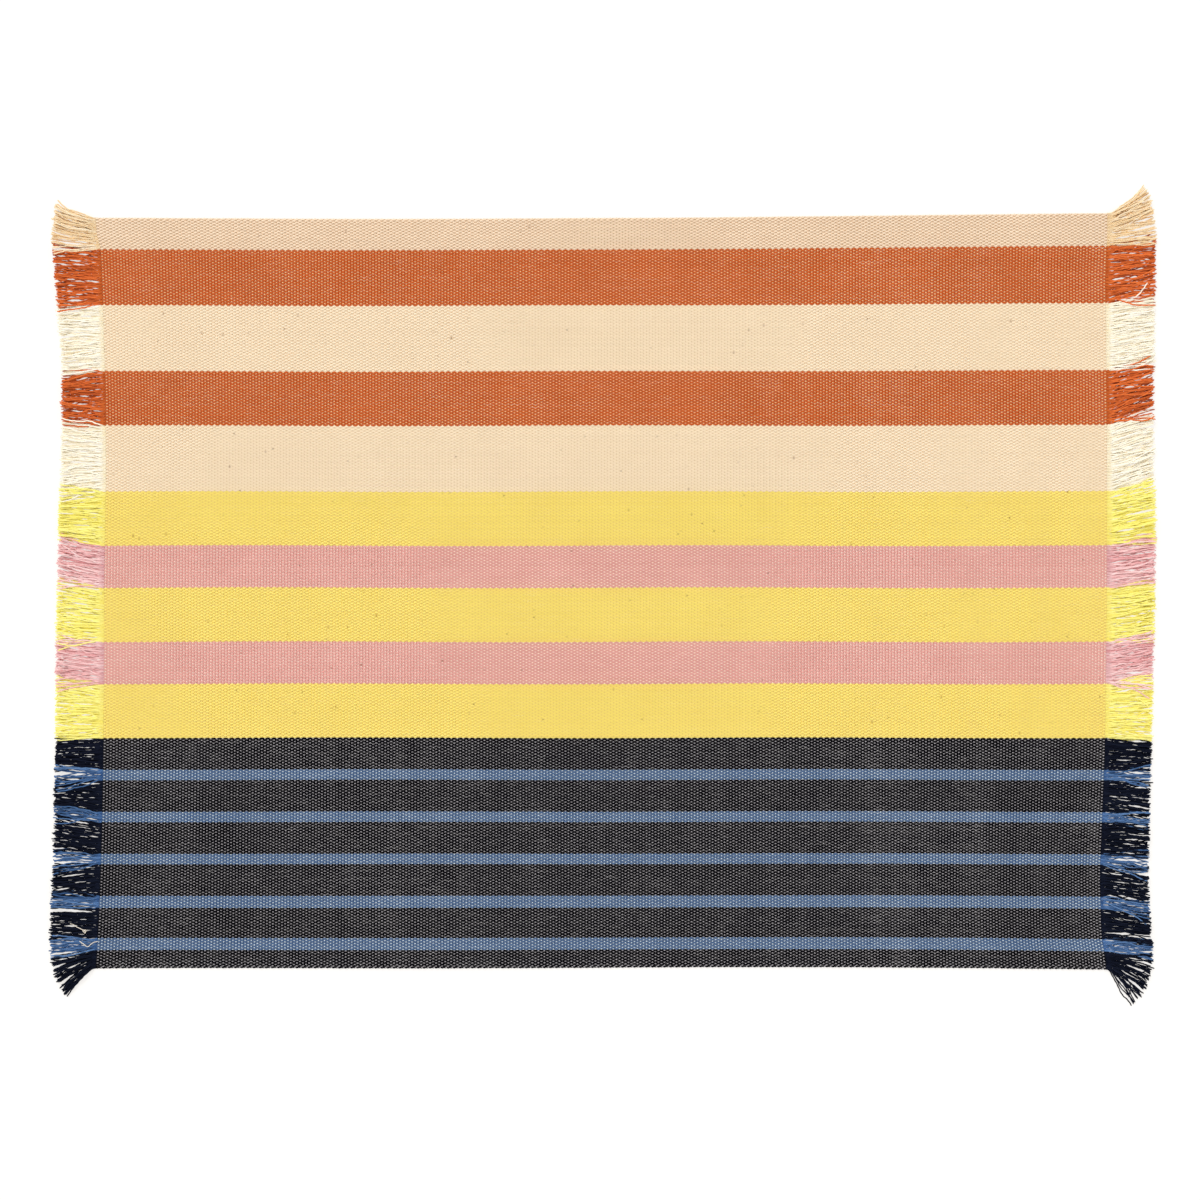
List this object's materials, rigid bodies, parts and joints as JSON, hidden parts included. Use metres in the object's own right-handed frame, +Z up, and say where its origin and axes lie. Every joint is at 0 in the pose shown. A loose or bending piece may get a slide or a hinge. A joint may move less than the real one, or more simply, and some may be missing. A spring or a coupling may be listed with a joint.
{
  "type": "bath mat",
  "caption": "Flat-woven rectangular cotton bath mat with lengthwise colour stripes and a short loose fringe of cut warp ends at both ends.",
  "frame": {"origin": "centre of the underside of the woven body, without the fringe", "axes": "+X along the stripes, +Y across the stripes towards the sand-coloured selvedge, +Z up"},
  "size_m": [0.88, 0.6502, 0.0026],
  "materials": {
    "sand_cotton": "matt two-ply cotton yarn, dyed before weaving",
    "orange_cotton": "matt two-ply cotton yarn, dyed before weaving",
    "cream_cotton": "matt two-ply cotton yarn, dyed before weaving",
    "yellow_cotton": "matt two-ply cotton yarn, dyed before weaving",
    "pink_cotton": "matt two-ply cotton yarn, dyed before weaving",
    "navy_cotton": "matt two-ply cotton yarn, dyed before weaving",
    "blue_cotton": "matt two-ply cotton yarn, dyed before weaving",
    "natural_weft": "matt undyed cotton yarn"
  },
  "bodies": {
    "root": {"weft_yarn": "natural_weft", "stripe_01_sand": "sand_cotton", "stripe_02_orange": "orange_cotton", "stripe_03_cream": "cream_cotton", "stripe_04_orange": "orange_cotton", "stripe_05_cream": "cream_cotton", "stripe_06_yellow": "yellow_cotton", "stripe_07_pink": "pink_cotton", "stripe_08_yellow": "yellow_cotton", "stripe_09_pink": "pink_cotton", "stripe_10_yellow": "yellow_cotton", "stripe_11_navy": "navy_cotton", "stripe_12_blue": "blue_cotton", "stripe_13_navy": "navy_cotton", "stripe_14_blue": "blue_cotton", "stripe_15_navy": "navy_cotton", "stripe_16_blue": "blue_cotton", "stripe_17_navy": "navy_cotton", "stripe_18_blue": "blue_cotton", "stripe_19_navy": "navy_cotton", "stripe_20_blue": "blue_cotton", "stripe_21_navy": "navy_cotton", "fringe_left_sand": "sand_cotton", "fringe_left_orange": "orange_cotton", "fringe_left_cream": "cream_cotton", "fringe_left_yellow": "yellow_cotton", "fringe_left_pink": "pink_cotton", "fringe_left_navy": "navy_cotton", "fringe_left_blue": "blue_cotton", "fringe_right_sand": "sand_cotton", "fringe_right_orange": "orange_cotton", "fringe_right_cream": "cream_cotton", "fringe_right_yellow": "yellow_cotton", "fringe_right_pink": "pink_cotton", "fringe_right_navy": "navy_cotton", "fringe_right_blue": "blue_cotton"}
  },
  "joints": []
}
